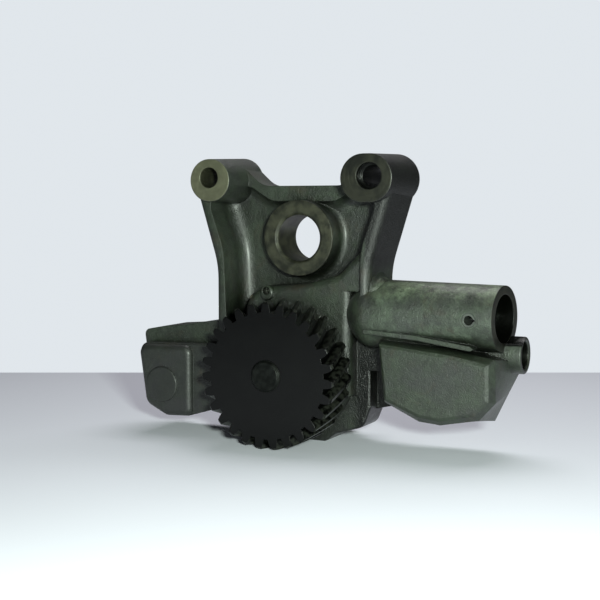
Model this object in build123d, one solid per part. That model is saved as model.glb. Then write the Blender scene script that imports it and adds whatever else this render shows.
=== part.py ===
"""Gear-driven engine oil pump: a cast bracket body with a helical drive gear, a spur gear pump and a relief valve.

Frame: X to the right, Y to the rear, Z up, in millimetres. The origin is on the axis of the idler
gear's journal bore, in the rear face that bolts to the crankcase. Every depth below is a Y value,
so a front face has the more negative one.
"""
import math
import os

from build123d import *

# Depths of the casting's faces
REAR = 0.0
COVER_SEAT = -1.0
WEB_FRONT = -12.0
TOP_RIB_FRONT = -20.0
RING_FRONT = -28.0
HUB_FRONT = -36.0
RIB_FRONT = -40.0
BOSS_FRONT = -45.0
VALLEY_FRONT = -25.0
VALLEY_FLOOR = -14.0
LEFT_BLOCK_FRONT = -30.0
RIGHT_BLOCK_FRONT = -45.0
RIGHT_BLOCK_SHOULDER = -39.0
RIGHT_BLOCK_BACK = -3.0
SEAT_LINE_Z = -31.5

# Mounting bosses and idler journal
BOSS_HALF_SPACING = 56.5
BOSS_Z = 39.0
BOSS_HOLE_R = 6.75
LEFT_BOSS_R = (13.8, 15.6)
RIGHT_BOSS_R = (15.0, 16.2)
RIGHT_SPOTFACE_R = 8.4
RIGHT_SPOTFACE_DEPTH = 6.0
SLEEVE_R = 9.0
SLEEVE_DEPTH = 8.0
SLEEVE_STAND = 5.0
RING_R = 24.5
IDLER_BORE_R = 15.0
FRONT_CHAMFER = 1.5
REAR_CHAMFER = 0.5

# Drive gear: normal module and helix of the timing train
DRIVE_TEETH = 27
DRIVE_MODULE = 3.0
DRIVE_HELIX = 22.0
DRIVE_FRONT = -67.0
DRIVE_BACK = -39.0
IDLER_TEETH = 26
SHAFT_X = -3.5
MESH_CENTRES = (DRIVE_TEETH + IDLER_TEETH) * DRIVE_MODULE / 2 / math.cos(math.radians(DRIVE_HELIX))
SHAFT_Z = -math.sqrt(MESH_CENTRES**2 - SHAFT_X**2)

# Pump gears and their chamber
PUMP_TEETH = 11
PUMP_MODULE = 3.0
PUMP_ADDENDUM = 2.6
PUMP_DEDENDUM = 3.0
PUMP_BACKLASH = 0.14
PUMP_CENTRES = PUMP_TEETH * PUMP_MODULE
PUMP_TIP_R = PUMP_CENTRES / 2 + PUMP_ADDENDUM
DRIVEN_Z = SHAFT_Z + PUMP_CENTRES
MESH_Z = (SHAFT_Z + DRIVEN_Z) / 2
CHAMBER_FRONT = -26.0
CHAMBER_CLEARANCE = 0.1
GEAR_END_PLAY = 0.05

# Shaft, bushes and driven gear pin
SHAFT_R = 10.0
BUSH_R = 12.0
RUNNING = 0.03
SHAFT_FRONT = -69.0
SHAFT_BACK = 11.0
PIN_R = 7.0
PIN_BUSH_R = 9.0
PIN_FRONT = -33.0
PIN_BACK = 8.0
KEY_WIDTH = 5.0
KEY_OUT = 1.8

# Relief valve, along +X
TUBE_R = 20.2
TUBE_Y = -22.0
TUBE_Z = -47.7
TUBE_START_X = 41.0
TUBE_START_R = 22.3
TUBE_START_ROUND = 11.0
TUBE_END_X = 136.4
MOUTH_SLANT = 6.0
VALVE_BORE_R = 10.2
VALVE_SEAT_X = 62.0
PILOT_R = 4.5
PILOT_END_X = 49.0
FEED_Y = -17.5
PISTON_LENGTH = 24.0
SPILL_X = 73.0
SPILL_R = 5.0
RETAINER_X = 119.8
RETAINER_R = 4.2
SEAT_BORE_R = 15.0
SEAT_BORE_X = 105.0
SEAT_CUP_LENGTH = 9.0
WIRE_R = 1.3
COIL_R = 6.2
COIL_TURNS = 6.5

# Delivery port, along +X, and suction side
PORT_Y = -12.0
PORT_Z = -70.5
PORT_R = 8.5
PORT_BOSS_R = 11.5
PORT_END_X = 147.0
PORT_STEP_X = 100.0
DUCT_R = 8.0
DUCT_Y = -12.0
SUCTION_X = -84.0
SUCTION_Z = -92.0
SUCTION_R = 12.5
SUCTION_BOLT_SPACING = 44.0
SUCTION_FLOOR = -6.0
SEAL_IN_R = 14.4
SEAL_OUT_R = 17.2
SEAL_DEPTH = 2.2
OIL_JET = (-18.5, -34.3)
OIL_JET_R = 2.6
CHANNEL_TOP = -63.0
CHANNEL_BOTTOM = -74.0
CHANNEL_FRONT = -23.0
CHANNEL_BACK = -7.0
M8_TAP_R = 3.4
M8_R = 4.0
M6_R = 3.0
DOWEL_R = 3.0
DOWEL_REACH = 8.0
COVER_FRONT = -42.0
COVER_FLANGE = -38.0
COVER_PAD = (-95.8, -99.7)
COVER_PAD_R = 12.0
GASKET = 0.8
REAR_COVER_BACK = 12.0
REAR_HUB_BACK = 18.0


def outline(points, radius):
    """Closed X-Z outline whose corners are rounded by one radius or by a list of radii."""
    return make_face(FilletPolyline(*points, radius=radius, close=True))


def slab(profile, front, back):
    """A profile drawn in X and Z, made solid between two depths."""
    return extrude(Plane.XZ.offset(-back) * profile, amount=back - front)


def disc(x, z, radius):
    return Pos(x, z) * Circle(radius)


def rod_y(x, z, radius, front, back):
    return slab(disc(x, z, radius), front, back)


def rod_x(y, z, radius, start, end):
    return extrude(Plane.YZ.offset(start) * (Pos(y, z) * Circle(radius)), amount=end - start)


def turned_y(points, x, z):
    """Revolve a list of (radius, depth) points about an axis along Y through (x, z)."""
    profile = Plane.XY * make_face(Polyline(*points, close=True))
    return Pos(x, 0, z) * revolve(profile, Axis.Y)


def turned_x(points, y, z):
    """Revolve a list of (x, radius) points about an axis along X through (y, z)."""
    profile = Plane.XY * make_face(Polyline(*points, close=True))
    return Pos(0, y, z) * revolve(profile, Axis.X)


def mirrored(points):
    """A half outline, given from bottom to top on the right, with its mirror image on the left."""
    return points + [(-x, z) for x, z in reversed(points)]


# ---------------------------------------------------------------- body casting

def bracket():
    """Web with two tall side ribs and a low top rib, cast round the idler journal ring."""
    half = [(54.6, -66), (54.6, -18.5), (69.5, 30), (60, 51.5), (47, 49), (30, 33.8)]
    plate = slab(outline(mirrored(half), mirrored_radii([0, 60, 9, 9, 9, 16])), RIB_FRONT, REAR)
    rim = plate.edges().group_by(Axis.Y)[0].filter_by(on_outer_side)
    plate = fillet(rim, 5.0)
    inner = [
        (48.8, -60), (48.8, -8), (60.5, 25), (42, 35.5), (23, 23.8), (-23, 23.8), (-42, 35.5), (-60.5, 25),
        (-48.8, -8), (-46.5, -60),
    ]
    radii = [0, 50, 10.5, 10.5, 14, 14, 10.5, 10.5, 50, 5]
    plate -= slab(outline(inner, radii), RIB_FRONT, WEB_FRONT)
    floor_edges = plate.faces().filter_by(Axis.Y).filter_by(on_floor).edges()
    plate = fillet(floor_edges, 9.0)
    window = [(44.5, 8), (44.5, 70)]
    plate -= slab(outline(mirrored(window), 0), RIB_FRONT, TOP_RIB_FRONT)
    plate -= slab(outline([(-47.5, -70), (60, -70), (60, -59), (-47.5, -59)], 0), RIB_FRONT, HUB_FRONT)
    return plate - slab(outline([(30, -70), (60, -70), (60, -50), (30, -50)], 0), RIB_FRONT, VALLEY_FRONT)


def mirrored_radii(radii):
    return radii + list(reversed(radii))


def on_floor(face):
    return abs(face.center().Y - WEB_FRONT) < 0.01


def on_outer_side(edge):
    """True for the part of the bracket's rim along the two side ribs, up to the bosses."""
    middle = edge @ 0.5
    return abs(middle.X) > 52 and middle.Z < 46 and middle.Z > -65


def boss(x, centre, radii, widening):
    """Tapered pillar round one mounting bolt, a little wider than high, from the rear face to the bolt's seat."""
    front_r, rear_r = radii
    front = Plane.XZ.offset(-BOSS_FRONT) * (Pos(x, centre) * SlotCenterToCenter(widening, 2 * front_r))
    rear = Plane.XZ.offset(-REAR) * (Pos(x, centre) * SlotCenterToCenter(widening, 2 * rear_r))
    pillar = loft([front, rear])
    return fillet(pillar.faces().sort_by(Axis.Y)[0].edges(), 0.6)


def journal_ring():
    """Ring that carries the idler journal, flared where it meets the web."""
    flare = 4.5
    profile = make_face(
        Polyline((0, REAR), (RING_R + flare, REAR), (RING_R + flare, WEB_FRONT))
        + RadiusArc((RING_R + flare, WEB_FRONT), (RING_R, WEB_FRONT - flare), -flare)
        + Polyline((RING_R, WEB_FRONT - flare), (RING_R, RING_FRONT), (0, RING_FRONT), (0, REAR))
    )
    return revolve(profile, Axis.Y)


def hub():
    """Pump chamber housing behind the drive gear, with the bearing nose on its front."""
    upper = outline(
        [(-36, -100), (-36, -33.5), (9, -29), (31, -23), (52, -2), (52, -33), (40.5, -33), (40.5, -100)],
        [0, 18, 20, 14, 0, 0, 0, 0],
    )
    chest = slab(upper, HUB_FRONT, REAR)
    rim = chest.faces().sort_by(Axis.Y)[0].edges().filter_by(on_chest_rim)
    chest = fillet(rim, 5.5)
    lower = slab(disc(SHAFT_X, SHAFT_Z, 43.0), HUB_FRONT, REAR)
    nose = turned_y(
        [(0, HUB_FRONT), (24, HUB_FRONT), (20, DRIVE_BACK + 1.2), (0, DRIVE_BACK + 1.2)], SHAFT_X, SHAFT_Z
    )
    return chest + lower + nose + jet_boss()


def jet_boss():
    """Small lump round the oil jet, on the upper edge of the chamber housing."""
    x, z = OIL_JET
    lump = rod_y(x, z - 1.7, 5.0, HUB_FRONT - 1.4, WEB_FRONT)
    return fillet(lump.edges().sort_by(Axis.Y)[0], 2.0)


def on_chest_rim(edge):
    """True for the chamber housing's front edges that show beside the gear."""
    middle = edge @ 0.5
    return middle.Z > -99 and middle.X < 45


def valve_tube():
    """Relief valve barrel: a cone drafted from its rounded start in the hub to its slightly slanted mouth."""
    long_end = TUBE_END_X + 6
    barrel = turned_x(
        [(TUBE_START_X, 0), (TUBE_START_X, TUBE_START_R), (long_end, TUBE_R), (long_end, 0)], TUBE_Y, TUBE_Z
    )
    barrel = fillet(barrel.faces().filter_by(Axis.X).sort_by(Axis.X)[0].edges(), TUBE_START_ROUND)
    beyond = Pos(TUBE_END_X, TUBE_Y, TUBE_Z) * Rot(0, 0, -MOUTH_SLANT) * Pos(10, 0, 0) * Box(20, 60, 60)
    return barrel - beyond


def block_section(points, depth):
    """One closed wire of the delivery block, its corners given at a depth."""
    return Wire.make_polygon([(x, depth, z) for x, z in points], close=True)


def right_block():
    """Delivery side: a box that widens to a shoulder under the valve tube, with the round port at its rear."""
    front = [
        (63.4, -64.8), (110.4, -69.7), (132.7, -73.8), (133, -95.9), (124.5, -104.3), (102.5, -109), (89, -107.3),
        (67.4, -98.5),
    ]
    shoulder = [
        (62.4, -62), (111, -66.5), (136, -71), (136.5, -97), (126.5, -108), (102, -112.8), (88, -111.5),
        (65.4, -101),
    ]
    back = [
        (61, -57), (113, -62), (144, -76), (134.6, -95), (125.5, -114), (105, -115), (90, -113),
        (63, -99),
    ]
    cap = Solid.make_loft(
        [block_section(front, RIGHT_BLOCK_FRONT), block_section(shoulder, RIGHT_BLOCK_SHOULDER)], ruled=True)
    box = Solid.make_loft(
        [block_section(shoulder, RIGHT_BLOCK_SHOULDER), block_section(back, RIGHT_BLOCK_BACK)], ruled=True)
    block = chamfer(cap.faces().sort_by(Axis.Y)[0].edges(), 1.3) + box
    port = rod_x(PORT_Y, PORT_Z, PORT_BOSS_R, 100, PORT_END_X)
    return block + fillet(port.edges().sort_by(Axis.X)[-1], 1.0)


def tube_lip():
    """Cast ledge between the valve tube and the delivery block."""
    profile = outline([(52, -55.8), (86, -58.2), (121, -63.2), (124, -65.2), (121, -66), (86, -61), (52, -58.6)], 0.7)
    return slab(profile, -43.0, VALLEY_FRONT)


def valley():
    """Thin wall that joins the hub and the right block, and the rear flange below them."""
    high = slab(outline([(30, -40), (75, -40), (75, -84), (30, -84)], 2), VALLEY_FRONT, REAR)
    low = slab(outline([(30, -80), (75, -80), (75, -104), (50, -110), (30, -110)], 2), VALLEY_FLOOR, REAR)
    flange = outline(
        [(-32, -126), (-25, -132.4), (18, -132.4), (25, -127), (45, -121), (50, -108), (50, -60), (-50, -60),
         (-50, -120)],
        [6, 4, 4, 4, 8, 6, 2, 2, 6],
    )
    apron = slab(flange, VALLEY_FRONT, REAR)
    return high + low + fillet(apron.faces().sort_by(Axis.Y)[0].edges(), 1.8)


def left_block():
    """Suction side: an open-fronted box that the suction cover closes."""
    profile = outline(
        [(-117, -64.4), (-100.9, -61.3), (-85.9, -60.2), (-62, -56), (-40, -57), (-40, -120), (-58.3, -115.2),
         (-77.8, -120.9), (-95, -121.6), (-110.5, -114)],
        [4, 8, 12, 8, 1, 1, 5, 9, 7, 8],
    )
    return slab(profile, LEFT_BLOCK_FRONT, REAR)


COVER_BOLTS = [(-105.5, -79, -40), (-61, -79, -36.5), (-102, -110, -40), (-61, -108.5, -36.5)]
REAR_BOLTS = [(SHAFT_X + side * x, z) for x, z in ((34, -42), (35, -94), (20, -121)) for side in (-1, 1)]
DOWELS = [(SHAFT_X - 30, -57), (SHAFT_X + 31, -107)]


def pump_body():
    """The one-piece casting, machined for the chamber, bushes, valve, ports and fasteners."""
    body = bracket() + hub() + valley() + left_block() + valve_tube() + right_block() + tube_lip()
    body += boss(-BOSS_HALF_SPACING + 0.5, BOSS_Z - 1.7, LEFT_BOSS_R, 1.6) + journal_ring()
    body += boss(BOSS_HALF_SPACING - 2.0, BOSS_Z - 1.3, RIGHT_BOSS_R, 4.6)
    below_seat_line = outline([(-130, -140), (160, -140), (160, SEAT_LINE_Z), (-130, SEAT_LINE_Z)], 0)
    return body - slab(below_seat_line, COVER_SEAT, REAR + 1) - machining()


def machining():
    """Everything that is drilled, bored or milled out of the casting."""
    cuts = idler_bore() + rod_y(SHAFT_X, SHAFT_Z, BUSH_R, DRIVE_BACK, REAR)
    for x in (-BOSS_HALF_SPACING, BOSS_HALF_SPACING):
        cuts += rod_y(x, BOSS_Z, BOSS_HOLE_R, BOSS_FRONT, REAR)
        cuts += rod_y(x, BOSS_Z, SLEEVE_R, -SLEEVE_DEPTH, REAR)
    cuts += rod_y(BOSS_HALF_SPACING, BOSS_Z, RIGHT_SPOTFACE_R, BOSS_FRONT, BOSS_FRONT + RIGHT_SPOTFACE_DEPTH)
    for z in (SHAFT_Z, DRIVEN_Z):
        cuts += rod_y(SHAFT_X, z, PUMP_TIP_R + CHAMBER_CLEARANCE, CHAMBER_FRONT, REAR)
    cuts += rod_y(SHAFT_X, DRIVEN_Z, PIN_R, PIN_FRONT, REAR)
    cuts += valve_bores() + delivery_bores()
    cuts += suction_cuts()
    cuts += rod_y(*OIL_JET, OIL_JET_R, HUB_FRONT - 2, CHAMBER_FRONT + 1)
    for x, z in REAR_BOLTS:
        cuts += rod_y(x, z, M8_TAP_R, -20, REAR)
    for x, z in DOWELS:
        cuts += rod_y(x, z, DOWEL_R, -DOWEL_REACH, REAR)
    return cuts


def idler_bore():
    wide = IDLER_BORE_R + FRONT_CHAMFER
    rear_wide = IDLER_BORE_R + REAR_CHAMFER
    return turned_y(
        [
            (0, RING_FRONT), (wide, RING_FRONT), (IDLER_BORE_R, RING_FRONT + FRONT_CHAMFER),
            (IDLER_BORE_R, REAR - REAR_CHAMFER), (rear_wide, REAR), (0, REAR),
        ],
        0, 0,
    )


def valve_bores():
    bore = turned_x(
        [
            (PILOT_END_X, 0), (PILOT_END_X, PILOT_R), (VALVE_SEAT_X, PILOT_R), (VALVE_SEAT_X, VALVE_BORE_R),
            (SEAT_BORE_X, VALVE_BORE_R), (SEAT_BORE_X, SEAT_BORE_R), (PORT_END_X, SEAT_BORE_R), (PORT_END_X, 0),
        ],
        TUBE_Y, TUBE_Z,
    )
    feed = Pos(PILOT_END_X + PILOT_R, FEED_Y, (TUBE_Z + PORT_Z) / 2) * Cylinder(PILOT_R, TUBE_Z - PORT_Z)
    spill = rod_y(SPILL_X, TUBE_Z, SPILL_R, TUBE_Y, REAR)
    pin_hole = rod_y(RETAINER_X, TUBE_Z, RETAINER_R, TUBE_Y - TUBE_START_R, REAR)
    return bore + feed + spill + pin_hole


def delivery_bores():
    """Stepped bore from the pump chamber's delivery side out to the port's chamfered mouth."""
    port = turned_x(
        [
            (PORT_STEP_X, 0), (PORT_STEP_X, PORT_R), (PORT_END_X - 1, PORT_R), (PORT_END_X, PORT_R + 1),
            (PORT_END_X, 0),
        ],
        PORT_Y, PORT_Z,
    )
    return port + rod_x(DUCT_Y, PORT_Z, DUCT_R, SHAFT_X + 9, PORT_STEP_X + 1)


def suction_cuts():
    cavity = outline([(-98, -74), (-70, -74), (-70, -110), (-98, -110)], 6)
    cuts = slab(cavity, LEFT_BLOCK_FRONT, SUCTION_FLOOR)
    cuts += rod_y(SUCTION_X, SUCTION_Z, SUCTION_R, SUCTION_FLOOR, REAR)
    over_bolt = outline(
        [(-82, CHANNEL_TOP), (SHAFT_X - 9, CHANNEL_TOP), (SHAFT_X - 9, CHANNEL_BOTTOM), (-71, CHANNEL_BOTTOM),
         (-71, -79), (-82, -79)],
        [5, 1, 1, 1.5, 1, 1],
    )
    cuts += slab(over_bolt, CHANNEL_FRONT, CHANNEL_BACK)
    cuts += bush(SUCTION_X, SUCTION_Z, SEAL_OUT_R, SEAL_IN_R, COVER_SEAT - SEAL_DEPTH, REAR)
    for side in (-1, 1):
        cuts += rod_y(SUCTION_X + side * SUCTION_BOLT_SPACING / 2, SUCTION_Z, M8_TAP_R, -16, REAR)
    for x, z, _ in COVER_BOLTS:
        cuts += rod_y(x, z, M6_R, LEFT_BLOCK_FRONT, REAR)
    return cuts


# ---------------------------------------------------------------- covers and their fasteners

def suction_cover_outline():
    return outline(
        [(-116.4, -72.5), (-53, -71), (-53, -113.6), (-58.3, -115.2), (-77.8, -120.9), (-95, -121.6), (-110.5, -114)],
        [6, 3, 2, 3, 9, 7, 8],
    )


def suction_cover():
    """Cast cover over the suction box: a flange, a raised box with rounded edges and a round pad."""
    plate = slab(suction_cover_outline(), COVER_FLANGE, LEFT_BLOCK_FRONT - GASKET)
    plate = fillet(plate.faces().sort_by(Axis.Y)[0].edges(), 1.2)
    raised = outline(
        [(-115.6, -73.3), (-73.5, -72.6), (-73.5, -119), (-78, -120.3), (-94.8, -120.9), (-109.8, -113.5)],
        [6, 6, 5, 5, 7, 8],
    )
    box = slab(raised, COVER_FRONT, COVER_FLANGE + 2)
    box = fillet(box.faces().sort_by(Axis.Y)[0].edges(), 4.0)
    pad = rod_y(*COVER_PAD, COVER_PAD_R, COVER_FRONT - 1.2, COVER_FRONT + 1)
    cover = plate + box + fillet(pad.edges().sort_by(Axis.Y)[0], 0.9)
    for x, z, tip in COVER_BOLTS:
        cover -= rod_y(x, z, M6_R, tip, LEFT_BLOCK_FRONT)
    return cover


def suction_cover_gasket():
    hole = outline([(-98, -74), (-70, -74), (-70, -110), (-98, -110)], 6)
    sheet = suction_cover_outline() - hole
    for x, z, _ in COVER_BOLTS:
        sheet -= disc(x, z, M6_R)
    return slab(sheet, LEFT_BLOCK_FRONT - GASKET, LEFT_BLOCK_FRONT)


def hex_bolt(x, z, radius, flats, head, seat, tip):
    """Flanged hex bolt whose head sits behind the seat and whose shank runs forward to its tip."""
    flange = rod_y(x, z, flats * 0.62, seat, seat + 1.4)
    hexagon = Pos(x, z) * RegularPolygon(flats / math.sqrt(3), 6)
    return rod_y(x, z, radius, tip, seat) + flange + slab(hexagon, seat + 1.4, seat + head)


def rear_cover():
    """Flat cover with the rear shaft bearing in its raised hub."""
    half = [(28, -130), (43, -106), (43, -33)]
    points = [(SHAFT_X + x, z) for x, z in half] + [(SHAFT_X - x, z) for x, z in reversed(half)]
    plate = fillet(slab(outline(points, 10), COVER_SEAT, REAR_COVER_BACK).edges().group_by(Axis.Y)[-1], 1.5)
    hub_shape = turned_y([(0, 4), (19, 4), (16, REAR_HUB_BACK), (0, REAR_HUB_BACK)], SHAFT_X, SHAFT_Z)
    cover = plate + hub_shape - rod_y(SHAFT_X, SHAFT_Z, BUSH_R, COVER_SEAT, REAR_COVER_BACK + 1)
    cover -= rod_y(SHAFT_X, DRIVEN_Z, PIN_R, COVER_SEAT, PIN_BACK)
    for x, z in REAR_BOLTS:
        cover -= rod_y(x, z, M8_R, COVER_SEAT, REAR_COVER_BACK)
    for x, z in DOWELS:
        cover -= rod_y(x, z, DOWEL_R, COVER_SEAT, DOWEL_REACH)
    return cover


# ---------------------------------------------------------------- gears

def involute(base_r, radius):
    """Polar angle that an involute has turned through at a radius."""
    pressure = math.acos(min(1.0, base_r / radius))
    return math.tan(pressure) - pressure


def tooth_profile(teeth, pitch_r, base_r, tip_r, root_r, half_thickness):
    """Closed gear outline: involute flanks as three-point arcs, tip and root as arcs of their circles."""
    at_pitch = half_thickness / pitch_r + involute(base_r, pitch_r)
    start_r = max(base_r, root_r)

    def flank_angle(radius):
        return at_pitch - involute(base_r, radius)

    def point(radius, angle):
        return (radius * math.sin(angle), radius * math.cos(angle))

    edges = []
    middle_r = (start_r + tip_r) / 2
    pitch = 2 * math.pi / teeth
    for n in range(teeth):
        axis = n * pitch
        left = [point(r, axis - flank_angle(r)) for r in (start_r, middle_r, tip_r)]
        right = [point(r, axis + flank_angle(r)) for r in (tip_r, middle_r, start_r)]
        foot_left = point(root_r, axis - flank_angle(start_r))
        foot_right = point(root_r, axis + flank_angle(start_r))
        next_foot = point(root_r, axis + pitch - flank_angle(start_r))
        if start_r > root_r:
            edges.append(Line(foot_left, left[0]))
        edges.append(ThreePointArc(*left))
        edges.append(ThreePointArc(left[2], point(tip_r, axis), right[0]))
        edges.append(ThreePointArc(*right))
        if start_r > root_r:
            edges.append(Line(right[2], foot_right))
        edges.append(ThreePointArc(foot_right, point(root_r, axis + pitch / 2), next_foot))
    return make_face(Curve() + edges)


def spur_gear(x, z, bore_r):
    """One pump gear, with a tooth pointing straight up at rest."""
    pitch_r = PUMP_CENTRES / 2
    base_r = pitch_r * math.cos(math.radians(20))
    half = (math.pi * PUMP_MODULE / 2 - PUMP_BACKLASH) / 2
    face = tooth_profile(PUMP_TEETH, pitch_r, base_r, PUMP_TIP_R, pitch_r - PUMP_DEDENDUM, half)
    face = Pos(x, z) * (face - Circle(bore_r))
    return slab(face, CHAMBER_FRONT + GEAR_END_PLAY, COVER_SEAT - GEAR_END_PLAY)


def drive_gear():
    """Helical gear of the timing train, pressed on the front of the pump shaft."""
    helix = math.radians(DRIVE_HELIX)
    pitch_r = DRIVE_TEETH * DRIVE_MODULE / math.cos(helix) / 2
    pressure = math.atan(math.tan(math.radians(20)) / math.cos(helix))
    base_r = pitch_r * math.cos(pressure)
    half = math.pi * pitch_r / DRIVE_TEETH / 2 - 0.06
    tip_r = pitch_r + DRIVE_MODULE
    root_r = pitch_r - 1.25 * DRIVE_MODULE
    width = DRIVE_BACK - DRIVE_FRONT
    twist = math.degrees(width * math.tan(helix) / pitch_r)
    face = tooth_profile(DRIVE_TEETH, pitch_r, base_r, tip_r, root_r, half)
    teeth = Solid.extrude_linear_with_rotation(
        (Plane.XZ * face).face(), center=(0, 0, 0), normal=(0, width, 0), angle=-twist
    )
    chamfer_r = tip_r + 1
    cut = 1.2
    blank = turned_y(
        [(0, 0), (tip_r - cut, 0), (chamfer_r, cut + 1), (chamfer_r, width - cut - 1), (tip_r - cut, width), (0, width)],
        0, 0,
    )
    return Pos(SHAFT_X, DRIVE_FRONT, SHAFT_Z) * ((teeth & blank) - rod_y(0, 0, SHAFT_R, 0, width))


# ---------------------------------------------------------------- shaft, bushes, pins and valve

def drive_shaft():
    c = 1.2
    shaft = turned_y(
        [
            (0, SHAFT_FRONT), (SHAFT_R - c, SHAFT_FRONT), (SHAFT_R, SHAFT_FRONT + c),
            (SHAFT_R, SHAFT_BACK - c), (SHAFT_R - c, SHAFT_BACK), (0, SHAFT_BACK),
        ],
        SHAFT_X, SHAFT_Z,
    )
    return shaft - key_block()


def key_block():
    """Space of the key that locks the pump gear to the shaft, on the side away from the driven gear."""
    low = SHAFT_Z - SHAFT_R - KEY_OUT
    profile = Pos(SHAFT_X, low + 2.4) * Rectangle(KEY_WIDTH, 4.8)
    return slab(profile, -21, -5)


def bush(x, z, outer, inner, front, back):
    return rod_y(x, z, outer, front, back) - rod_y(x, z, inner, front, back)


def relief_piston():
    """Cup piston that seats on the pilot hole's shoulder and holds the spring in its skirt."""
    r = VALVE_BORE_R - RUNNING
    end = VALVE_SEAT_X + PISTON_LENGTH
    return turned_x(
        [
            (VALVE_SEAT_X, 0), (VALVE_SEAT_X, r - 0.8), (VALVE_SEAT_X + 0.8, r), (end, r), (end, r - 2.3),
            (VALVE_SEAT_X + 6, r - 2.3), (VALVE_SEAT_X + 6, 0),
        ],
        TUBE_Y, TUBE_Z,
    )


def relief_spring():
    """Round-wire compression spring between the piston's crown and the seat cup."""
    start = VALVE_SEAT_X + 6 + WIRE_R + 0.1
    end = RETAINER_X - RETAINER_R - SEAT_CUP_LENGTH + 2.5 - WIRE_R - 0.1
    path = Helix(pitch=(end - start) / COIL_TURNS, height=end - start, radius=COIL_R)
    section = Plane(origin=path @ 0, z_dir=path % 0) * Circle(WIRE_R)
    return Pos(start, TUBE_Y, TUBE_Z) * Rot(0, 90, 0) * sweep(section, path=path, is_frenet=True)


def relief_spring_seat():
    """Cup that closes the bore and takes the spring's outer end, held by the retaining pin."""
    back = RETAINER_X - RETAINER_R
    r = SEAT_BORE_R - 0.1
    floor = back - SEAT_CUP_LENGTH + 2.5
    return turned_x(
        [
            (back - SEAT_CUP_LENGTH, r - 1.8), (back - SEAT_CUP_LENGTH, r), (back, r), (back, r - 2.2),
            (floor + 3.5, r - 2.2), (floor + 3.5, 2.5), (floor, 2.5), (floor, r - 1.8),
        ],
        TUBE_Y, TUBE_Z,
    )


def relief_retaining_pin():
    """Rolled spring pin through the tube: a tube of sheet steel with a slot along it."""
    front = TUBE_Y - TUBE_R + 0.6
    back = TUBE_Y + TUBE_R - 0.6
    pin = bush(RETAINER_X, TUBE_Z, RETAINER_R, RETAINER_R - 1.3, front, back)
    slot = slab(Pos(RETAINER_X + RETAINER_R, TUBE_Z) * Rectangle(RETAINER_R * 2, 1.2), front, back)
    return pin - slot


def locating_sleeves():
    return [bush(x, BOSS_Z, SLEEVE_R, BOSS_HOLE_R, -SLEEVE_DEPTH, SLEEVE_STAND)
            for x in (-BOSS_HALF_SPACING, BOSS_HALF_SPACING)]


def suction_seal_ring():
    """Rubber ring in the groove round the suction port, standing a little out of the rear face."""
    wire = (SEAL_OUT_R - SEAL_IN_R) / 2 - 0.02
    ring = Torus((SEAL_OUT_R + SEAL_IN_R) / 2, wire)
    return Pos(SUCTION_X, COVER_SEAT - SEAL_DEPTH + wire, SUCTION_Z) * Rot(90, 0, 0) * ring


def oil_jet_plug():
    """Cupped plug in the front of the chamber housing, drilled for the jet that oils the gear mesh."""
    x, z = OIL_JET
    cup = turned_y(
        [
            (0.6, HUB_FRONT + 5), (OIL_JET_R - 0.8, HUB_FRONT + 5), (OIL_JET_R - 0.8, HUB_FRONT + 3.2),
            (OIL_JET_R, HUB_FRONT + 3.2), (OIL_JET_R, HUB_FRONT + 7), (0.6, HUB_FRONT + 7),
        ],
        x, z,
    )
    return cup


def thrust_washer():
    return bush(SHAFT_X, SHAFT_Z, 17, SHAFT_R + 0.3, DRIVE_BACK + 0.1, DRIVE_BACK + 1.2)


def nodes():
    pump_driver = spur_gear(SHAFT_X, SHAFT_Z, SHAFT_R) - key_block()
    return {
        "pump_body": pump_body(),
        "suction_cover": suction_cover(),
        "suction_cover_gasket": suction_cover_gasket(),
        "suction_cover_bolts": Compound(
            [hex_bolt(x, z, M6_R, 10, 6.2, COVER_SEAT, tip).solid() for x, z, tip in COVER_BOLTS]),
        "rear_cover": rear_cover(),
        "rear_cover_bolts": Compound(
            [hex_bolt(x, z, M8_TAP_R, 13, 8, REAR_COVER_BACK, -18).solid() for x, z in REAR_BOLTS]),
        "rear_cover_dowels": Compound([rod_y(x, z, DOWEL_R, -DOWEL_REACH, DOWEL_REACH).solid() for x, z in DOWELS]),
        "locating_sleeves": Compound([s.solid() for s in locating_sleeves()]),
        "front_shaft_bush": bush(SHAFT_X, SHAFT_Z, BUSH_R, SHAFT_R + RUNNING, DRIVE_BACK + 1.2, CHAMBER_FRONT),
        "rear_shaft_bush": bush(SHAFT_X, SHAFT_Z, BUSH_R, SHAFT_R + RUNNING, COVER_SEAT, REAR_COVER_BACK),
        "driven_gear_pin": rod_y(SHAFT_X, DRIVEN_Z, PIN_R, PIN_FRONT, PIN_BACK),
        "thrust_washer": thrust_washer(),
        "suction_seal_ring": suction_seal_ring(),
        "oil_jet_plug": oil_jet_plug(),
        "relief_spring": relief_spring(),
        "relief_spring_seat": relief_spring_seat(),
        "relief_retaining_pin": relief_retaining_pin(),
        "drive_shaft": drive_shaft(),
        "drive_gear": drive_gear(),
        "pump_drive_gear": pump_driver,
        "pump_gear_key": key_block(),
        "pump_driven_gear": spur_gear(SHAFT_X, DRIVEN_Z, PIN_BUSH_R),
        "driven_gear_bush": bush(
            SHAFT_X, DRIVEN_Z, PIN_BUSH_R, PIN_R + RUNNING,
            CHAMBER_FRONT + GEAR_END_PLAY, COVER_SEAT - GEAR_END_PLAY),
        "relief_piston": relief_piston(),
    }


os.makedirs("parts", exist_ok=True)
for name, shape in nodes().items():
    export_step(shape, f"parts/{name}.step")
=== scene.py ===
"""Gear-driven engine oil pump: the finishes of its iron casting, gears and valve, on a pale table."""
import math

import bpy
from mathutils import Matrix, Vector


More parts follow.
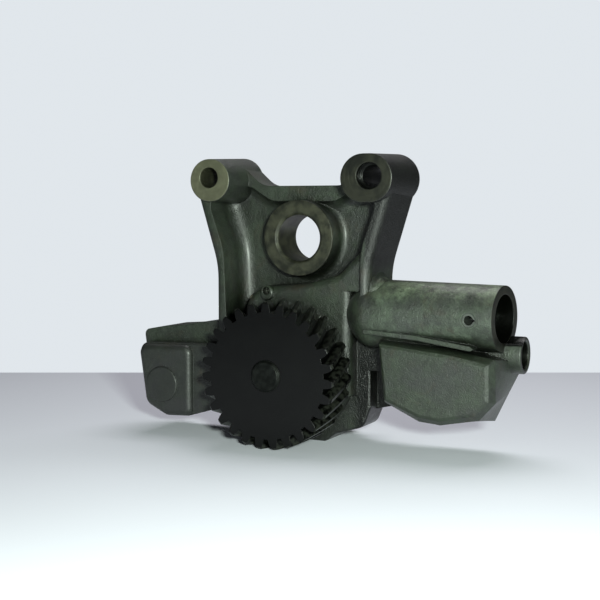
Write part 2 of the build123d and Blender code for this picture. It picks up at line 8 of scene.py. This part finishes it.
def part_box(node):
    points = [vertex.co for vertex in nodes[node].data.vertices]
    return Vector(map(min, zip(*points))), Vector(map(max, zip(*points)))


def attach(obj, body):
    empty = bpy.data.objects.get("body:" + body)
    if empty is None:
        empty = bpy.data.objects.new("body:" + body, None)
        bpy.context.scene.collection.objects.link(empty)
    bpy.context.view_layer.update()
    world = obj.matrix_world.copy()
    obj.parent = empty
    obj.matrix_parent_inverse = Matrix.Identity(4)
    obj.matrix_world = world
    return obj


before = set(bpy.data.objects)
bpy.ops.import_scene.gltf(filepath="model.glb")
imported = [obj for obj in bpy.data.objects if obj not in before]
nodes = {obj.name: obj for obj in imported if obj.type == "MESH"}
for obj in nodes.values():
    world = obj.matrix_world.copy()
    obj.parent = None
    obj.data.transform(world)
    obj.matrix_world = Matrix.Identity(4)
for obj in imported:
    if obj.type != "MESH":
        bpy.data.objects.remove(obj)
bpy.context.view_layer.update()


# ------------------------------------------------------------------ table, backdrop, lamps and camera
# The pump stands on a pale blue-grey table before a white backdrop, lit by a small lamp near the
# camera and a large one overhead. The drive gear's lowest tooth touches the table.

class Value:
    """One output of a shader node. Python's operators on it add Math nodes."""

    def __init__(self, finish, socket):
        self.finish = finish
        self.socket = socket

    def math(self, operation, *others, clamp=False):
        inputs = dict(enumerate((self, *others)))
        return self.finish.add("Math", {"operation": operation, "use_clamp": clamp}, inputs)

    def other(self, name):
        """Another output of the same node."""
        return Value(self.finish, self.socket.node.outputs[name])

    def __add__(self, value):
        return self.math("ADD", value)

    def __sub__(self, value):
        return self.math("SUBTRACT", value)

    def __rsub__(self, value):
        return (self * -1).math("ADD", value)

    def __mul__(self, value):
        return self.math("MULTIPLY", value)

    __radd__ = __add__
    __rmul__ = __mul__

    def clamp(self):
        return self.math("MULTIPLY", 1.0, clamp=True)

    def ramp(self, low, high):
        """0 below low, 1 above high, and a smooth step between."""
        settings = {"interpolation_type": "SMOOTHSTEP"}
        return self.finish.add("MapRange", settings, {"Value": self, "From Min": low, "From Max": high})

    def near(self, level, tolerance):
        """1 where the value is within the tolerance of a level."""
        return self.math("COMPARE", level, tolerance)


class Finish:
    """A material being built from nodes."""

    def __init__(self, name):
        self.material = bpy.data.materials.new(name)
        self.material.use_nodes = True
        self.tree = self.material.node_tree
        self.tree.nodes.clear()
        self.place = self.add("TexCoord", out="Object")

    def add(self, kind, settings=None, inputs=None, out=0):
        """Adds a node, sets it up, then gives its sockets values or links. Returns one output."""
        node = self.tree.nodes.new("ShaderNode" + kind)
        for name, value in (settings or {}).items():
            setattr(node, name, value)
        for name, value in (inputs or {}).items():
            if isinstance(value, Value):
                self.tree.links.new(value.socket, node.inputs[name])
            else:
                node.inputs[name].default_value = value
        return Value(self, node.outputs[out])

    def axis(self, letter):
        """The X, Y or Z part of the place in the piece."""
        return self.add("SeparateXYZ", {}, {"Vector": self.place}, out=letter)

    def noise(self, scale, detail=4.0, roughness=0.55, distortion=0.0):
        """Noise from 0 to 1 whose grains are about a given size in metres."""
        inputs = {
            "Vector": self.place,
            "Scale": 1.0 / scale,
            "Detail": detail,
            "Roughness": roughness,
            "Distortion": distortion,
        }
        return self.add("TexNoise", {"noise_dimensions": "3D"}, inputs)

    def mix(self, factor, first, second):
        """A colour that goes from first to second."""
        settings = {"data_type": "RGBA", "clamp_factor": True}
        return self.add("Mix", settings, {0: factor, 6: first, 7: second}, out=2)

    def soft_edges(self, radius):
        """The surface's direction with every edge rounded, as sand casting and deburring leave it."""
        return self.add("Bevel", {"samples": 4}, {"Radius": radius})

    def bump(self, height, depth, normal=None):
        """Surface relief of a given depth in metres."""
        inputs = {"Height": height, "Distance": depth, "Strength": 1.0}
        if normal:
            inputs["Normal"] = normal
        return self.add("Bump", {}, inputs)

    def corner_shade(self, reach):
        """Painted shade: 1 deep in corners and grooves within a given reach, and 0 in the open."""
        open_air = self.add("AmbientOcclusion", {"samples": 6}, {"Distance": reach}, out="AO")
        return 1 - open_air.ramp(0.25, 0.95)

    def radius_round(self, first, second, letters="XZ"):
        """Distance from an axis that crosses the plane of two letters at two places."""
        a = self.axis(letters[0]) - first
        b = self.axis(letters[1]) - second
        return (a * a + b * b).math("SQRT")

    def shade(self, **sockets):
        """Ends the material in a Principled shader and returns it."""
        inputs = {name.replace("_", " "): value for name, value in sockets.items()}
        surface = self.add("BsdfPrincipled", {}, inputs)
        self.add_output(surface)
        return self.material

    def add_output(self, surface):
        output = self.tree.nodes.new("ShaderNodeOutputMaterial")
        self.tree.links.new(surface.socket, output.inputs["Surface"])

    def shade_table(self, colour, **sockets):
        """A painted surface that shows one even colour through clear pieces."""
        inputs = {name.replace("_", " "): value for name, value in sockets.items()}
        paint = self.add("BsdfPrincipled", {}, inputs)
        glow = self.add("Emission", {}, {"Color": colour, "Strength": 1.0})
        seen = self.add("LightPath").other("Is Transmission Ray")
        self.add_output(self.add("MixShader", {}, {0: seen, 1: paint, 2: glow}))
        return self.material


def rgb(red, green, blue):
    """A colour given in 8-bit screen values, as the linear colour that a shader takes."""
    return tuple((v / 255) ** 2.2 for v in (red, green, blue)) + (1.0,)


def mesh_piece(name, corners, faces):
    mesh = bpy.data.meshes.new(name)
    mesh.from_pydata(corners, [], faces)
    piece = bpy.data.objects.new(name, mesh)
    bpy.context.scene.collection.objects.link(piece)
    return piece


TABLE_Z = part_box("drive_gear")[0].z
TABLE_COLOUR = rgb(196, 207, 212)
BACKDROP_COLOUR = rgb(224, 230, 235)
VIEW_RIGHT = Vector((0.898794, 0.438371, 0.0))
VIEW_UP = Vector((-0.033631, 0.068955, 0.997053))
VIEW_BACK = Vector((0.437079, -0.896145, 0.076719))
CAMERA_PLACE = Vector((0.34209, -0.72638, 0.01950))
FOCAL_LENGTH = 72.0
SENSOR_WIDTH = 36.0
TABLE_END_DISTANCE = 1.10
TABLE_SIZE = 4.0
PUMP_MIDDLE = Vector((0.015, -0.03, -0.045))
FLASH_OFFSET = VIEW_RIGHT * 0.09 + Vector((0, 0, 0.05))
FLASH_SIZE = (0.07, 0.05)
FLASH_POWER = 10.0
FLASH_COLOUR = (0.88, 1.0, 0.88)
CEILING_PLACE = (0.0, 0.3, 0.75)
CEILING_SIZE = (0.7, 0.5)
CEILING_POWER = 4.2
ROOM_COLOUR = (0.80, 0.86, 0.90, 1.0)
ROOM_LEVEL = 0.07

level_back = Vector((VIEW_BACK.x, VIEW_BACK.y, 0)).normalized()
table_end = Vector((CAMERA_PLACE.x, CAMERA_PLACE.y, TABLE_Z)) - level_back * TABLE_END_DISTANCE
side = VIEW_RIGHT * TABLE_SIZE / 2
front = level_back * TABLE_SIZE
corners = [table_end - side, table_end - side + front, table_end + side + front, table_end + side]
table = mesh_piece("table", corners, [(0, 1, 2, 3)])
table_top = Finish("table_top")
mottle = table_top.noise(0.35, 2.0)
tone = table_top.mix(mottle * 0.3, rgb(240, 240, 252), rgb(230, 231, 244))
table.data.materials.append(table_top.shade_table(TABLE_COLOUR, Base_Color=tone, Roughness=0.6))


def softbox(name, place, size, power, colour=(1.0, 1.0, 1.0)):
    """A rectangular soft lamp aimed at the middle of the pump."""
    lamp = bpy.data.lights.new(name, "AREA")
    lamp.color = colour
    lamp.shape = "RECTANGLE"
    lamp.size, lamp.size_y = size
    lamp.energy = power
    holder = bpy.data.objects.new(name, lamp)
    holder.location = place
    holder.rotation_euler = (PUMP_MIDDLE - Vector(place)).to_track_quat("-Z", "Y").to_euler()
    bpy.context.scene.collection.objects.link(holder)


softbox("front_light", CAMERA_PLACE + FLASH_OFFSET, FLASH_SIZE, FLASH_POWER, FLASH_COLOUR)
softbox("ceiling_light", CEILING_PLACE, CEILING_SIZE, CEILING_POWER)

world = bpy.data.worlds.new("room")
world.use_nodes = True
room = world.node_tree
sky = room.nodes["Background"]
sky.inputs["Color"].default_value = ROOM_COLOUR
sky.inputs["Strength"].default_value = ROOM_LEVEL
backdrop = room.nodes.new("ShaderNodeBackground")
backdrop.inputs["Color"].default_value = BACKDROP_COLOUR
path = room.nodes.new("ShaderNodeLightPath")
seen = room.nodes.new("ShaderNodeMath")
seen.operation = "MAXIMUM"
room.links.new(path.outputs["Is Camera Ray"], seen.inputs[0])
room.links.new(path.outputs["Is Transmission Ray"], seen.inputs[1])
both = room.nodes.new("ShaderNodeMixShader")
room.links.new(seen.outputs[0], both.inputs[0])
room.links.new(sky.outputs[0], both.inputs[1])
room.links.new(backdrop.outputs[0], both.inputs[2])
room.links.new(both.outputs[0], room.nodes["World Output"].inputs["Surface"])
bpy.context.scene.world = world

lens = bpy.data.cameras.new("camera")
lens.lens = FOCAL_LENGTH
lens.sensor_width = SENSOR_WIDTH
lens.clip_start = 0.01
camera = bpy.data.objects.new("camera", lens)
turn = Matrix((VIEW_RIGHT, VIEW_UP, VIEW_BACK)).transposed()
camera.matrix_world = Matrix.Translation(CAMERA_PLACE) @ turn.to_4x4()
bpy.context.scene.collection.objects.link(camera)
bpy.context.scene.camera = camera
bpy.context.scene.view_settings.view_transform = "Standard"


# ------------------------------------------------------------------ iron casting
# The body is grey iron poured in a sand mould, left as cast and wiped with oil. The bolt seats, the
# journal ring, the bores and the rear face are machined, and show bright turned metal. Shade is painted
# into the iron in corners and grooves, on the right rib's outer side, in the valley by the hub and inside
# the valve tube, and the valve tube carries a painted sheen with a painted highlight on top.

MM = 0.001


def mm(*values):
    """Lengths given in millimetres, as the metres that the frame uses."""
    return tuple(v * MM for v in values)


IRON_DARK = rgb(30, 35, 27)
IRON_LIGHT = rgb(44, 52, 41)
IRON_PITS = rgb(18, 20, 16)
# Near black, painted in where shade falls.
IRON_PAINTED_SHADE = rgb(12, 13, 11)
IRON_RUST = rgb(50, 40, 26)
IRON_COOL = rgb(40, 38, 42)
# Painted sheen for the valve tube and a painted highlight for its upper half.
IRON_PAINTED_TUBE_SHEEN = rgb(62, 71, 59)
IRON_PAINTED_HIGHLIGHT = rgb(112, 124, 102)
IRON_MACHINED = rgb(98, 98, 80)
IRON_MACHINED_DULL = rgb(24, 26, 20)
BOSS_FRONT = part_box("pump_body")[0].y
RING_FRONT = -28 * MM
RING_RADIUS = 24.5 * MM
COVER_SEAT = -1 * MM
BOSS_HOLE_X = 56.5 * MM
BOSS_HOLE_Z = 39 * MM
BOSS_HOLE_RADIUS = 6.75 * MM
SPOTFACE_RADIUS = 8.4 * MM
IDLER_BORE_RADIUS = 15 * MM
TUBE_Y = -22 * MM
TUBE_Z = -47.7 * MM
TUBE_MOUTH_X = 136.4 * MM
TUBE_BORE_RADIUS = 15 * MM
MOUTH_SLOPE = math.tan(math.radians(6))
PORT_Y = -12 * MM
PORT_Z = -70.5 * MM
PORT_RADIUS = 8.5 * MM
PORT_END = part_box("pump_body")[1].x
FACE_TOLERANCE = 0.12 * MM
RING_TOLERANCE = 1.6 * MM
BORE_EDGE = mm(0.1, 0.2)
SEATS_ABOVE = mm(10, 11)
TUBE_BORE_FROM = mm(50, 52)
PORT_BORE_FROM = mm(90, 92)
MOUTH_ABOVE = mm(-70, -69)
# Regions that get painted shade: the right rib's outer side, the valley between the hub and the right block, and
# the inside of the valve tube.
RIB_SIDE_X = mm(51, 53)
RIB_SIDE_Z = mm(-24, -12)
VALLEY_X = (mm(36, 44), mm(60, 64))
VALLEY_Z = mm(-72, -64)
VALLEY_Y = mm(-40, -34)
VALVE_INSIDE = mm(16, 17)
VALVE_INSIDE_FROM = mm(60, 62)
LEFT_BOSS_KEPT = mm(-46, -30)
RIGHT_BOSS_DARKER = mm(20, 40)
TUBE_FROM = mm(48, 66)
TUBE_OUTSIDE = mm(23, 24)
TOP_HIGHLIGHT_FROM = mm(8, 20)
FINE_TURNING = 7000
COARSE_TURNING = 2300


def sand_skin(finish):
    """Height of a sand-cast skin, from 0 to 1: fine sand grain with coarser pits and swells."""
    sand = finish.noise(0.9 * MM, 3.0, 0.6)
    clumps = finish.noise(3.2 * MM, 3.0, 0.5)
    swell = finish.noise(14 * MM, 2.0, 0.4)
    return sand * 0.4 + clumps * 0.35 + swell * 0.25


def iron_colour(finish, light, dark, painted_shade):
    """Olive-grey iron, patchy where rust has tinted it, and near black where shade is painted in."""
    patches = finish.noise(9 * MM, 6.0, 0.7)
    cool = finish.noise(24 * MM, 4.0, 0.6, distortion=0.4).ramp(0.45, 0.65)
    rust = finish.noise(17 * MM, 5.0, 0.65, distortion=0.6).ramp(0.52, 0.72)
    speckle = finish.noise(1.2 * MM, 4.0, 0.65)
    base = finish.mix(patches.ramp(0.3, 0.7), dark, light)
    base = finish.mix(cool * 0.45, base, IRON_COOL)
    base = finish.mix(rust * 0.4, base, IRON_RUST)
    base = finish.mix((1 - speckle.ramp(0.36, 0.5)) * 0.4, base, IRON_PITS)
    return finish.mix(painted_shade, base, IRON_PAINTED_SHADE)


def in_bore(distance, radius):
    """1 on a bore's wall and inside it, from the distance to the bore's axis."""
    return 1 - distance.ramp(radius + BORE_EDGE[0], radius + BORE_EDGE[1])


def casting():
    iron = Finish("cast_iron")
    x, y, z = (iron.axis(letter) for letter in "XYZ")
    idler = iron.radius_round(0, 0)
    left_hole = iron.radius_round(-BOSS_HOLE_X, BOSS_HOLE_Z)
    right_hole = iron.radius_round(BOSS_HOLE_X, BOSS_HOLE_Z)
    tube = iron.radius_round(TUBE_Y, TUBE_Z, "YZ")
    port = iron.radius_round(PORT_Y, PORT_Z, "YZ")
    seats = y.near(BOSS_FRONT, FACE_TOLERANCE) * z.ramp(*SEATS_ABOVE)
    ring = y.near(RING_FRONT, RING_TOLERANCE) * (1 - idler.ramp(RING_RADIUS, RING_RADIUS + FACE_TOLERANCE))
    rear = y.near(0.0, FACE_TOLERANCE) + y.near(COVER_SEAT, FACE_TOLERANCE)
    bores = in_bore(idler, IDLER_BORE_RADIUS)
    bores = bores + in_bore(left_hole, BOSS_HOLE_RADIUS) + in_bore(right_hole, SPOTFACE_RADIUS)
    bores = bores + in_bore(tube, TUBE_BORE_RADIUS) * x.ramp(*TUBE_BORE_FROM)
    bores = bores + in_bore(port, PORT_RADIUS) * x.ramp(*PORT_BORE_FROM)
    mouth = (x - y * MOUTH_SLOPE).near(TUBE_MOUTH_X - TUBE_Y * MOUTH_SLOPE, FACE_TOLERANCE)
    ends = mouth * z.ramp(*MOUTH_ABOVE) + x.near(PORT_END, FACE_TOLERANCE)
    machined = (seats + ring + rear + bores + ends).clamp()
    nearest = idler.math("MINIMUM", left_hole).math("MINIMUM", right_hole)
    lathe = (nearest * FINE_TURNING).math("SINE") * 0.5 + (nearest * COARSE_TURNING).math("SINE") * 0.5
    scratches = iron.noise(0.4 * MM, 2.0, 0.5)
    relief = sand_skin(iron) * (1 - machined) + (lathe * 0.03 + scratches * 0.03) * machined
    normal = iron.bump(relief, 1.0 * MM, iron.soft_edges(1.1 * MM))
    # Painted shade: the iron is darkened on the right rib's outer side (unevenly, and there also rougher), in the
    # valley between the hub and the right block, inside the valve tube and in corners and grooves.
    shade_unevenness = iron.noise(16 * MM, 4.0, 0.6)
    right_rib_shade = x.ramp(*RIB_SIDE_X) * z.ramp(*RIB_SIDE_Z) * (1 - machined) * (0.75 + shade_unevenness * 0.5)
    valley_shade = x.ramp(*VALLEY_X[0]) * (1 - x.ramp(*VALLEY_X[1])) * (1 - z.ramp(*VALLEY_Z)) * y.ramp(*VALLEY_Y)
    bore_shade = (1 - tube.ramp(*VALVE_INSIDE)) * x.ramp(*VALVE_INSIDE_FROM) * (1 - ends)
    painted_shade = (iron.corner_shade(20 * MM) * 0.9 + right_rib_shade + valley_shade + bore_shade).clamp()
    # The machined faces are bright on the left bolt seat and duller to its right. They darken towards near black
    # with the painted shade, and the right bolt seat is made darker as well.
    dull = (iron.noise(7 * MM, 4.0).ramp(0.35, 0.65) * 0.3 + x.ramp(*LEFT_BOSS_KEPT) * 0.65).clamp()
    surface_tone = iron.mix(dull, IRON_MACHINED, IRON_MACHINED_DULL)
    surface_tone = iron.mix((painted_shade * 0.8 + x.ramp(*RIGHT_BOSS_DARKER) * 0.6).clamp(), surface_tone, IRON_PAINTED_SHADE)
    # Painted sheen and highlight: the valve tube's iron is lighter all over, and lighter still over its upper half.
    on_tube = x.ramp(*TUBE_FROM) * (1 - tube.ramp(*TUBE_OUTSIDE))
    painted_top_highlight = on_tube * z.ramp(TUBE_Z + TOP_HIGHLIGHT_FROM[0], TUBE_Z + TOP_HIGHLIGHT_FROM[1])
    light = iron.mix(on_tube, IRON_LIGHT, IRON_PAINTED_TUBE_SHEEN)
    light = iron.mix(painted_top_highlight, light, IRON_PAINTED_HIGHLIGHT)
    colour = iron.mix(machined, iron_colour(iron, light, IRON_DARK, painted_shade), surface_tone)
    roughness = 0.46 + iron.noise(6 * MM, 4.0) * 0.16 + right_rib_shade * 0.2 - (machined * 0.1 + painted_shade * 0.22)
    return iron.shade(
        Base_Color=colour, Metallic=machined * 0.4, Roughness=roughness, Normal=normal,
        Coat_Weight=(1 - painted_shade) * 0.3, Coat_Roughness=0.3)


def finish_node(name, material):
    """Gives a CAD node's mesh one material in every slot."""
    mesh = nodes[name].data
    mesh.materials.clear()
    mesh.materials.append(material)


cast_iron = casting()
finish_node("pump_body", cast_iron)


# ------------------------------------------------------------------ cast blends at the valve tube
# Two fillets of the casting: the collar where the tube grows out of the chamber housing, and the flare
# where the right rib lands on the tube.

TUBE_RADIUS = 22.2 * MM
COLLAR_ARC = math.radians(84)
COLLAR_STEPS = 48
COLLAR_PROFILE = (
    (37.6, 13.2), (39.0, 14.5), (40.8, 16.4), (43.0, 18.5), (46.0, 20.5), (49.5, 21.7), (53.0, 21.97), (55.0, 21.8),
)
COLLAR_CORE = 8 * MM
FLARE_X = 54.3 * MM
FLARE_REACH = 7.5 * MM
FLARE_FRONT = -38.5 * MM
FLARE_BACK = -4 * MM
FLARE_STEPS = 24
FLARE_SINK = 0.2 * MM
FLARE_FULLNESS = 4
FLARE_LEAST = 0.004
ARC_STEPS = 10


def grid_piece(name, rows):
    """A closed mesh from rings of points, each ring joined to the next and the two ends capped."""
    count = len(rows[0])
    faces = []
    for row in range(len(rows) - 1):
        for k in range(count):
            after = (k + 1) % count
            faces.append((row * count + k, row * count + after, (row + 1) * count + after, (row + 1) * count + k))
    faces.append(tuple(reversed(range(count))))
    faces.append(tuple((len(rows) - 1) * count + k for k in range(count)))
    piece = mesh_piece(name, [corner for row in rows for corner in row], faces)
    for face in piece.data.polygons:
        face.use_smooth = len(face.vertices) == 4
    piece.data.materials.append(cast_iron)
    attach(piece, "housing")


def tube_collar():
    """The collar: a section turned round the tube's axis, over the side that faces the front."""
    section = [(x * MM, r * MM) for x, r in COLLAR_PROFILE]
    section += [(section[-1][0], COLLAR_CORE), (section[0][0], COLLAR_CORE)]
    rows = []
    for step in range(COLLAR_STEPS + 1):
        turn = COLLAR_ARC * (2 * step / COLLAR_STEPS - 1)
        rows.append([Vector((x, TUBE_Y - r * math.cos(turn), TUBE_Z + r * math.sin(turn))) for x, r in section])
    grid_piece("tube_collar", rows)


def rib_flare():
    """The flare: a hollow quarter round that runs along the rib's foot and dies out at both ends."""
    rows = []
    for step in range(FLARE_STEPS + 1):
        share = step / FLARE_STEPS
        y = FLARE_FRONT + (FLARE_BACK - FLARE_FRONT) * share
        reach = FLARE_REACH * math.sqrt(max(1 - (2 * share - 1) ** FLARE_FULLNESS, FLARE_LEAST))
        top = TUBE_Z + math.sqrt(TUBE_RADIUS**2 - (y - TUBE_Y) ** 2) - FLARE_SINK
        arc = []
        for k in range(ARC_STEPS + 1):
            angle = math.pi + math.pi / 2 * k / ARC_STEPS
            arc.append(Vector((FLARE_X + reach * (1 + math.cos(angle)), y, top + reach * (1 + math.sin(angle)))))
        rows.append(arc + [Vector((FLARE_X, y, top))])
    grid_piece("rib_flare", rows)


tube_collar()
rib_flare()


# ------------------------------------------------------------------ covers and gasket
# The suction cover on the left block and the rear cover are iron castings too, of a finer and darker
# skin. Oil-soaked gasket paper shows as a thin line behind the suction cover.

PAD_X = -95.8 * MM
PAD_Z = -99.7 * MM
PAD_RADIUS = 12 * MM
PAD_EDGE = 0.6 * MM
PAD_FRONT = mm(-42.6, -42.4)
COVER_IRON_LIGHT = rgb(36, 39, 35)
COVER_IRON_DARK = rgb(26, 29, 26)
COVER_SMOOTH = rgb(30, 32, 29)
REAR_COVER_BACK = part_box("rear_cover")[1].y


def cover_casting():
    iron = Finish("cast_iron_cover")
    pad = iron.radius_round(PAD_X, PAD_Z)
    y = iron.axis("Y")
    on_pad = (1 - pad.ramp(PAD_RADIUS - PAD_EDGE, PAD_RADIUS)) * (1 - y.ramp(*PAD_FRONT))
    seat = y.near(COVER_SEAT, FACE_TOLERANCE) + y.near(REAR_COVER_BACK, FACE_TOLERANCE)
    smooth = (on_pad * 0.6 + seat).clamp()
    normal = iron.bump(sand_skin(iron) * (1 - smooth * 0.85), 0.7 * MM, iron.soft_edges(0.8 * MM))
    # Painted shade: the covers are darkened in their corners and grooves.
    painted_shade = iron.corner_shade(12 * MM) * 0.7
    colour = iron.mix(smooth * 0.6, iron_colour(iron, COVER_IRON_LIGHT, COVER_IRON_DARK, painted_shade), COVER_SMOOTH)
    roughness = 0.46 + iron.noise(5 * MM, 4.0) * 0.18 - smooth * 0.06
    return iron.shade(
        Base_Color=colour, Roughness=roughness, Normal=normal, Coat_Weight=0.3, Coat_Roughness=0.3)


GASKET_DARK = rgb(26, 27, 22)
GASKET_LIGHT = rgb(42, 43, 36)


def gasket():
    paper = Finish("gasket_paper")
    fibres = paper.noise(0.3 * MM, 3.0, 0.7)
    colour = paper.mix(fibres, GASKET_DARK, GASKET_LIGHT)
    return paper.shade(Base_Color=colour, Roughness=0.8, Normal=paper.bump(fibres, 0.08 * MM))


cover_iron = cover_casting()
finish_node("suction_cover", cover_iron)
finish_node("rear_cover", cover_iron)
finish_node("suction_cover_gasket", gasket())


# ------------------------------------------------------------------ drive gear
# Case-hardened helical gear, blackened and oiled. The flanks are worn bright where they mesh, and the
# face keeps the faint rings of the lathe.

GEAR_X = -3.5 * MM
GEAR_Z = (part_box("drive_gear")[0].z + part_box("drive_gear")[1].z) / 2
GEAR_ROOT_RADIUS = 39.9 * MM
GEAR_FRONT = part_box("drive_gear")[0].y
GEAR_BLACK = rgb(4, 5, 4)
GEAR_GREY = rgb(8, 9, 8)
FLANK_METAL = rgb(52, 54, 49)
FLANK_ABOVE_ROOT = mm(1.5, 3)
FLANK_BEHIND_FRONT = mm(0.2, 0.4)
GEAR_TURNING = 5200


def blackened():
    black = Finish("blackened_steel")
    radius = black.radius_round(GEAR_X, GEAR_Z)
    flank = radius.ramp(*(GEAR_ROOT_RADIUS + height for height in FLANK_ABOVE_ROOT))
    flank = flank * black.axis("Y").ramp(*(GEAR_FRONT + depth for depth in FLANK_BEHIND_FRONT))
    patches = black.noise(12 * MM, 4.0)
    fine = black.noise(0.5 * MM, 3.0)
    rings = (radius * GEAR_TURNING).math("SINE") * 0.5 + 0.5
    colour = black.mix(patches.ramp(0.35, 0.7), GEAR_BLACK, GEAR_GREY)
    surface_tone = black.mix(flank * black.noise(3 * MM, 3.0).ramp(0.4, 0.6) * 0.8, colour, FLANK_METAL)
    normal = black.bump(fine * 0.6 + rings * (1 - flank) * 0.25, 0.05 * MM, black.soft_edges(0.35 * MM))
    return black.shade(
        Base_Color=surface_tone, Metallic=flank * 0.5, Roughness=0.3 - flank * 0.04 + patches * 0.06, Normal=normal,
        Specular_IOR_Level=0.3)


finish_node("drive_gear", blackened())


# ------------------------------------------------------------------ shaft, pump gears and key
# The ground shaft carries both gears. Its front end was turned, then blackened with the gear. The
# pump gears are hobbed and shaved, and stay bright in the oil.

def ground_metal(name, colour, roughness, grain, depth, metallic=0.9):
    """Bare or plated steel with a fine grain and slightly uneven tone."""
    steel = Finish(name)
    patches = steel.noise(6 * MM, 4.0)
    fine = steel.noise(grain, 2.0)
    darker = tuple(c * 0.72 for c in colour[:3]) + (1.0,)
    return steel.shade(
        Base_Color=steel.mix(patches.ramp(0.3, 0.7), darker, colour), Metallic=metallic,
        Roughness=roughness + patches * 0.14, Normal=steel.bump(fine, depth, steel.soft_edges(0.25 * MM)))


SHAFT_BLACK = rgb(24, 26, 24)
SHAFT_GREY = rgb(36, 38, 36)
SHAFT_GROUND = rgb(120, 122, 116)
SHAFT_END_DEPTH = 1 * MM
SHAFT_TURNING = 6500


def shaft_end():
    steel = Finish("shaft_steel")
    radius = steel.radius_round(GEAR_X, GEAR_Z)
    front = 1 - steel.axis("Y").ramp(GEAR_FRONT - SHAFT_END_DEPTH, GEAR_FRONT + SHAFT_END_DEPTH)
    rings = (radius * SHAFT_TURNING).math("SINE") * 0.5 + 0.5
    patches = steel.noise(4 * MM, 4.0)
    dark = steel.mix(patches.ramp(0.35, 0.65), SHAFT_BLACK, SHAFT_GREY)
    colour = steel.mix(front, SHAFT_GROUND, dark)
    normal = steel.bump(rings * front * 0.4 + steel.noise(0.5 * MM, 3.0), 0.06 * MM, steel.soft_edges(0.9 * MM))
    return steel.shade(Base_Color=colour, Metallic=0.8, Roughness=0.3 + patches * 0.2, Normal=normal)


finish_node("drive_shaft", shaft_end())
hobbed = ground_metal("gear_steel", rgb(158, 160, 156), 0.26, 0.5 * MM, 0.03 * MM)
for name in ("pump_drive_gear", "pump_driven_gear"):
    finish_node(name, hobbed)
ground = ground_metal("ground_steel", rgb(186, 187, 182), 0.2, 0.3 * MM, 0.015 * MM)
for name in ("pump_gear_key", "driven_gear_pin"):
    finish_node(name, ground)


# ------------------------------------------------------------------ bearing bushes
# Pressed bushes and a thrust washer of bearing bronze, bored after fitting.

bronze = ground_metal("bronze", rgb(176, 138, 82), 0.3, 0.6 * MM, 0.03 * MM)
for name in ("front_shaft_bush", "rear_shaft_bush", "driven_gear_bush", "thrust_washer"):
    finish_node(name, bronze)


# ------------------------------------------------------------------ relief valve
# A ground piston slides in the bored tube against a round-wire spring. The spring's seat is a turned
# cup, held by a rolled pin across the tube.

CUP_BRIGHT = rgb(196, 200, 196)
CUP_STAINED = rgb(140, 143, 136)
CUP_TURNING = 9000


def turned_cup():
    steel = Finish("turned_steel")
    x = steel.axis("X")
    grooves = (x * CUP_TURNING).math("SINE") * 0.5 + 0.5
    stain = steel.noise(3 * MM, 3.0)
    colour = steel.mix(stain.ramp(0.4, 0.7), CUP_BRIGHT, CUP_STAINED)
    return steel.shade(
        Base_Color=colour, Metallic=0.9, Roughness=0.24 + stain * 0.15, Normal=steel.bump(grooves, 0.02 * MM))


finish_node("relief_spring_seat", turned_cup())
finish_node("relief_piston", ground)
spring_wire = ground_metal("spring_steel", rgb(112, 116, 110), 0.32, 0.4 * MM, 0.02 * MM)
for name in ("relief_spring", "relief_retaining_pin"):
    finish_node(name, spring_wire)


# ------------------------------------------------------------------ bolts, dowels and sleeves
# Zinc-plated hex bolts with a dull yellowish passivation hold both covers from the rear. Ground
# dowels and two hollow sleeves place the cover and the pump.

zinc = ground_metal("zinc_steel", rgb(168, 162, 138), 0.34, 0.5 * MM, 0.03 * MM)
for name in ("suction_cover_bolts", "rear_cover_bolts"):
    finish_node(name, zinc)
for name in ("rear_cover_dowels", "locating_sleeves"):
    finish_node(name, ground)


# ------------------------------------------------------------------ seal ring and oil jet
# A black nitrile ring lies in the groove round the suction port. A small pressed plug with a drilled
# jet sits at the top of the chamber housing and oils the gear mesh.

RUBBER_BLACK = rgb(22, 22, 22)
RUBBER_BLOOM = rgb(40, 40, 39)


def nitrile():
    rubber = Finish("rubber_seal")
    bloom = rubber.noise(2 * MM, 4.0)
    colour = rubber.mix(bloom, RUBBER_BLACK, RUBBER_BLOOM)
    return rubber.shade(Base_Color=colour, Roughness=0.5 + bloom * 0.2, Normal=rubber.bump(bloom, 0.03 * MM))


finish_node("suction_seal_ring", nitrile())
finish_node("oil_jet_plug", ground_metal("plug_steel", rgb(84, 86, 80), 0.4, 0.5 * MM, 0.03 * MM))
